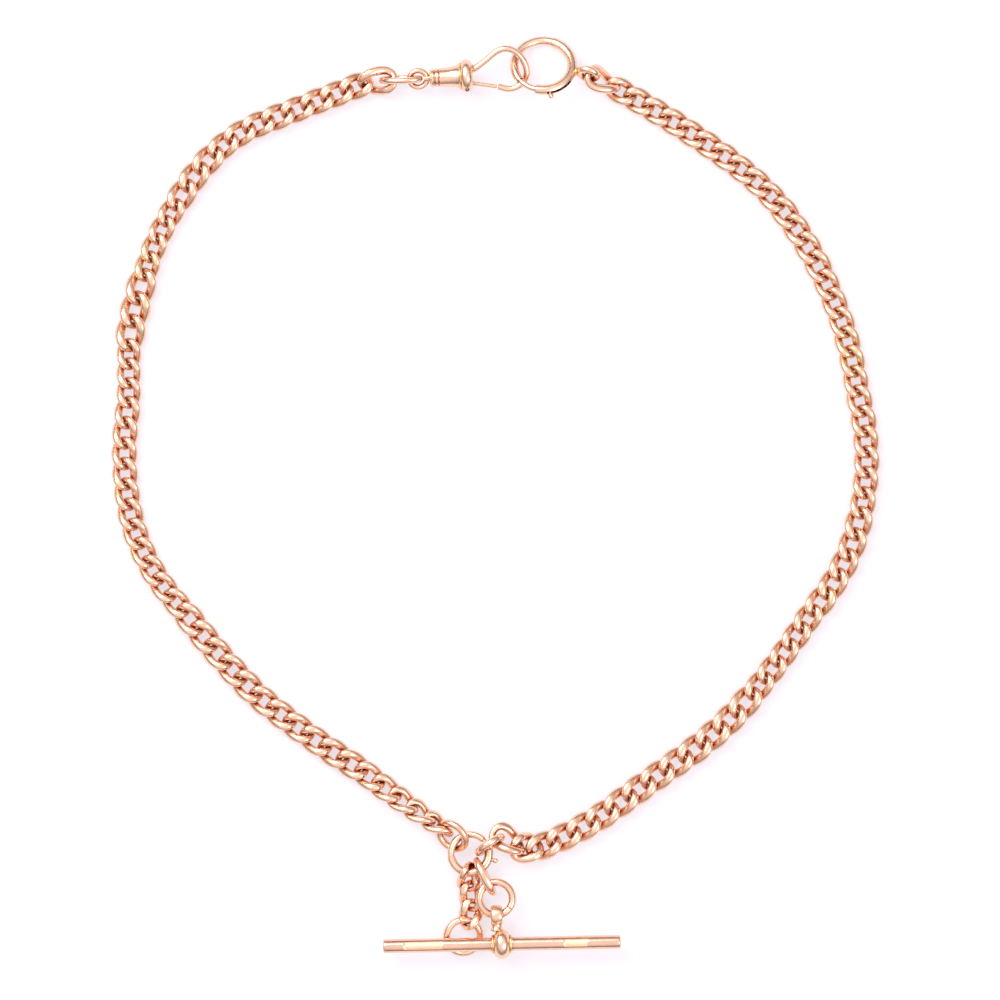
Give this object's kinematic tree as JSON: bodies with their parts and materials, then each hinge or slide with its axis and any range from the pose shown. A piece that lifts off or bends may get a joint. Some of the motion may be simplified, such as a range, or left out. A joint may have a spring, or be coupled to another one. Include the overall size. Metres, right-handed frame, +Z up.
{
  "type": "pocket watch chain",
  "caption": "Heavy curb-link watch chain laid as a closed loop: dog clip and bolt ring hooked together, T-bar and fob drop on a second bolt ring.",
  "frame": {"origin": "centre of the laid-out chain's bounding box, on the table under it", "axes": "+X to the right and +Y to the top of the laid-out loop, +Z up from the table"},
  "size_m": [0.1228, 0.1476, 0.0065],
  "materials": {
    "rose_gold": "polished",
    "rose_gold_links": "polished",
    "yellow_gold": "polished",
    "spring_steel": "satin"
  },
  "bodies": {
    "loop_bottom": {"left_jump_ring": "rose_gold", "right_jump_ring": "rose_gold", "right_long_link": "rose_gold", "right_end_link": "rose_gold", "left_links_1": "rose_gold_links", "left_links_2": "rose_gold_links", "right_links_1": "rose_gold_links", "right_links_2": "rose_gold_links", "right_links_3": "rose_gold_links"},
    "left_lower": {"left_links_3": "rose_gold_links"},
    "left_side": {"left_links_4": "rose_gold_links"},
    "left_sway": {"left_links_5": "rose_gold_links"},
    "left_upper": {"left_links_6": "rose_gold_links", "left_links_7": "rose_gold_links"},
    "left_shoulder": {"left_links_8": "rose_gold_links"},
    "left_top": {"left_links_9": "rose_gold_links", "left_links_10": "rose_gold_links", "left_links_11": "rose_gold_links", "left_end_link": "rose_gold"},
    "right_lower": {"right_links_4": "rose_gold_links"},
    "right_side": {"right_links_5": "rose_gold_links"},
    "right_sway": {"right_links_6": "rose_gold_links"},
    "right_upper": {"right_links_7": "rose_gold_links"},
    "right_shoulder": {"right_links_8": "rose_gold_links"},
    "right_top": {"right_links_9": "rose_gold_links", "right_links_10": "rose_gold_links"},
    "clip_join": {"clip_link": "rose_gold"},
    "swivel_eye": {"clip_eye": "rose_gold"},
    "dog_clip": {"clip_barrel": "rose_gold", "clip_collar": "yellow_gold", "clip_hook": "rose_gold", "clip_gate_pin": "spring_steel", "clip_gate_spring": "spring_steel"},
    "gate": {"clip_gate": "rose_gold"},
    "ring_join": {"big_ring_link": "rose_gold"},
    "clasp_ring": {"big_bolt_ring": "rose_gold", "big_ring_loop": "yellow_gold", "big_ring_spring": "spring_steel"},
    "clasp_bolt": {"big_ring_bolt": "rose_gold"},
    "drop_ring": {"small_bolt_ring": "rose_gold", "small_ring_spring": "spring_steel"},
    "drop_bolt": {"small_ring_bolt": "rose_gold"},
    "bar_join": {"bar_long_link": "rose_gold"},
    "bar_carrier": {"bar_ring": "rose_gold"},
    "bar": {"t_bar": "rose_gold", "bar_bead": "yellow_gold", "bar_eye": "rose_gold"},
    "fine_1": {"drop_link_1": "rose_gold"},
    "fine_2": {"drop_link_2": "rose_gold"},
    "fine_3": {"drop_link_3": "rose_gold"},
    "end_ring": {"fob_ring": "rose_gold"}
  },
  "joints": [
    {"name": "left_fold_low", "type": "hinge", "parent": "loop_bottom", "child": "left_lower", "pos_m": [-0.0383, -0.0314, 0.0015], "axis": [1, 0, 0], "range_deg": [-11, 9]},
    {"name": "right_fold_low", "type": "hinge", "parent": "loop_bottom", "child": "right_lower", "pos_m": [0.0413, -0.0314, 0.0015], "axis": [1, 0, 0], "range_deg": [-11, 9]},
    {"name": "left_fold_mid", "type": "hinge", "parent": "left_lower", "child": "left_side", "pos_m": [-0.0499, -0.018, 0.0015], "axis": [1, 0, 0], "range_deg": [-9, 14]},
    {"name": "right_fold_mid", "type": "hinge", "parent": "right_lower", "child": "right_side", "pos_m": [0.051, -0.018, 0.0015], "axis": [1, 0, 0], "range_deg": [-9, 14]},
    {"name": "left_sway_low", "type": "hinge", "parent": "left_side", "child": "left_sway", "pos_m": [-0.058, -0.0042, 0.0015], "axis": [0, 0, 1], "range_deg": [-4, 6]},
    {"name": "right_sway_low", "type": "hinge", "parent": "right_side", "child": "right_sway", "pos_m": [0.0586, -0.0024, 0.0015], "axis": [0, 0, 1], "range_deg": [-4, 6]},
    {"name": "left_sway_high", "type": "hinge", "parent": "left_sway", "child": "left_upper", "pos_m": [-0.0586, 0.0153, 0.0015], "axis": [0, 0, 1], "range_deg": [-6, 4]},
    {"name": "right_sway_high", "type": "hinge", "parent": "right_sway", "child": "right_upper", "pos_m": [0.058, 0.0171, 0.0015], "axis": [0, 0, 1], "range_deg": [-6, 4]},
    {"name": "left_fold_high", "type": "hinge", "parent": "left_upper", "child": "left_shoulder", "pos_m": [-0.0561, 0.0356, 0.0015], "axis": [1, 0, 0], "range_deg": [-14, 9]},
    {"name": "right_fold_high", "type": "hinge", "parent": "right_upper", "child": "right_shoulder", "pos_m": [0.0525, 0.0356, 0.0015], "axis": [1, 0, 0], "range_deg": [-14, 9]},
    {"name": "left_fold_top", "type": "hinge", "parent": "left_shoulder", "child": "left_top", "pos_m": [-0.051, 0.047, 0.0015], "axis": [1, 0, 0], "range_deg": [-14, 9]},
    {"name": "right_fold_top", "type": "hinge", "parent": "right_shoulder", "child": "right_top", "pos_m": [0.0454, 0.047, 0.0015], "axis": [1, 0, 0], "range_deg": [-14, 9]},
    {"name": "clip_link_swing", "type": "hinge", "parent": "left_top", "child": "clip_join", "pos_m": [-0.01612, 0.06644, 0.00284], "axis": [1, 0, 0], "range_deg": [-3, 6]},
    {"name": "clip_eye_swing", "type": "hinge", "parent": "clip_join", "child": "swivel_eye", "pos_m": [-0.01345, 0.06679, 0.00444], "axis": [1, 0, 0], "range_deg": [-3, 12]},
    {"name": "clip_swivel", "type": "hinge", "parent": "swivel_eye", "child": "dog_clip", "pos_m": [-0.00931, 0.06719, 0.0033], "axis": [0.9979, 0.0645, 0], "range_deg": [-6, 12]},
    {"name": "gate", "type": "hinge", "parent": "dog_clip", "child": "gate", "pos_m": [-0.00447, 0.06593, 0.00279], "axis": [0.0199, -0.3084, 0.9511], "range_deg": [0, 25], "stiffness_Nm_per_rad": 0.0001, "springref_deg": -20.05, "deforming": ["clip_gate_spring"]},
    {"name": "ring_link_swing", "type": "hinge", "parent": "right_top", "child": "ring_join", "pos_m": [0.01886, 0.06654, 0.00063], "axis": [1, 0, 0], "range_deg": [-0.5, 8]},
    {"name": "bolt_ring_swing", "type": "hinge", "parent": "ring_join", "child": "clasp_ring", "pos_m": [0.01519, 0.06816, 0.004], "axis": [1, 0, 0], "range_deg": [-1, 12]},
    {"name": "clasp_bolt", "type": "hinge", "parent": "clasp_ring", "child": "clasp_bolt", "pos_m": [0.0077, 0.0692, 0.0032], "axis": [0, 0.5, 0.866], "range_deg": [0, 38], "stiffness_Nm_per_rad": 0.0002, "springref_deg": -20.05, "deforming": ["big_ring_spring"]},
    {"name": "drop_swing", "type": "hinge", "parent": "loop_bottom", "child": "drop_ring", "pos_m": [-0.00688, -0.0559, 0.00242], "axis": [0.9889, -0.1047, 0.1051], "range_deg": [-5, 1]},
    {"name": "drop_bolt", "type": "hinge", "parent": "drop_ring", "child": "drop_bolt", "pos_m": [-0.004, -0.05685, 0.00275], "axis": [0.101, -0.044, -0.9939], "range_deg": [0, 36], "stiffness_Nm_per_rad": 0.0001, "springref_deg": -20.05, "deforming": ["small_ring_spring"]},
    {"name": "bar_link_swing", "type": "hinge", "parent": "drop_ring", "child": "bar_join", "pos_m": [-0.00255, -0.05855, 0.0019], "axis": [0, 0, 1], "range_deg": [-3, 16]},
    {"name": "bar_ring_swing", "type": "hinge", "parent": "bar_join", "child": "bar_carrier", "pos_m": [-0.00101, -0.06169, 0.00309], "axis": [0.5774, 0.5774, 0.5774], "range_deg": [-12, 12]},
    {"name": "bar_swing", "type": "hinge", "parent": "bar_carrier", "child": "bar", "pos_m": [0.00038, -0.06669, 0.00339], "axis": [0.9953, 0.0905, 0.0338], "range_deg": [-30, 1]},
    {"name": "fine_swing_1", "type": "hinge", "parent": "drop_ring", "child": "fine_1", "pos_m": [-0.00337, -0.05983, 0.00295], "axis": [0.7071, 0.7071, 0], "range_deg": [-1.5, 18]},
    {"name": "fine_swing_2", "type": "hinge", "parent": "fine_1", "child": "fine_2", "pos_m": [-0.0029, -0.06166, 0.00186], "axis": [0.7071, 0.7071, 0], "range_deg": [-2.5, 18]},
    {"name": "fine_swing_3", "type": "hinge", "parent": "fine_2", "child": "fine_3", "pos_m": [-0.00246, -0.06466, 0.00176], "axis": [0.5774, 0.5774, -0.5774], "range_deg": [-6, 10]},
    {"name": "end_ring_swing", "type": "hinge", "parent": "fine_3", "child": "end_ring", "pos_m": [-0.003, -0.06777, 0.00251], "axis": [0.7071, 0, 0.7071], "range_deg": [-6, 18]}
  ],
  "couplings": [
    {"joint": "right_fold_low", "follows": "left_fold_low", "ratio": 1},
    {"joint": "right_fold_mid", "follows": "left_fold_mid", "ratio": 1},
    {"joint": "right_sway_low", "follows": "left_sway_low", "ratio": 1},
    {"joint": "left_sway_high", "follows": "left_sway_low", "ratio": -1},
    {"joint": "right_sway_high", "follows": "left_sway_low", "ratio": -1},
    {"joint": "right_fold_high", "follows": "left_fold_high", "ratio": 1},
    {"joint": "right_fold_top", "follows": "left_fold_top", "ratio": 1}
  ]
}
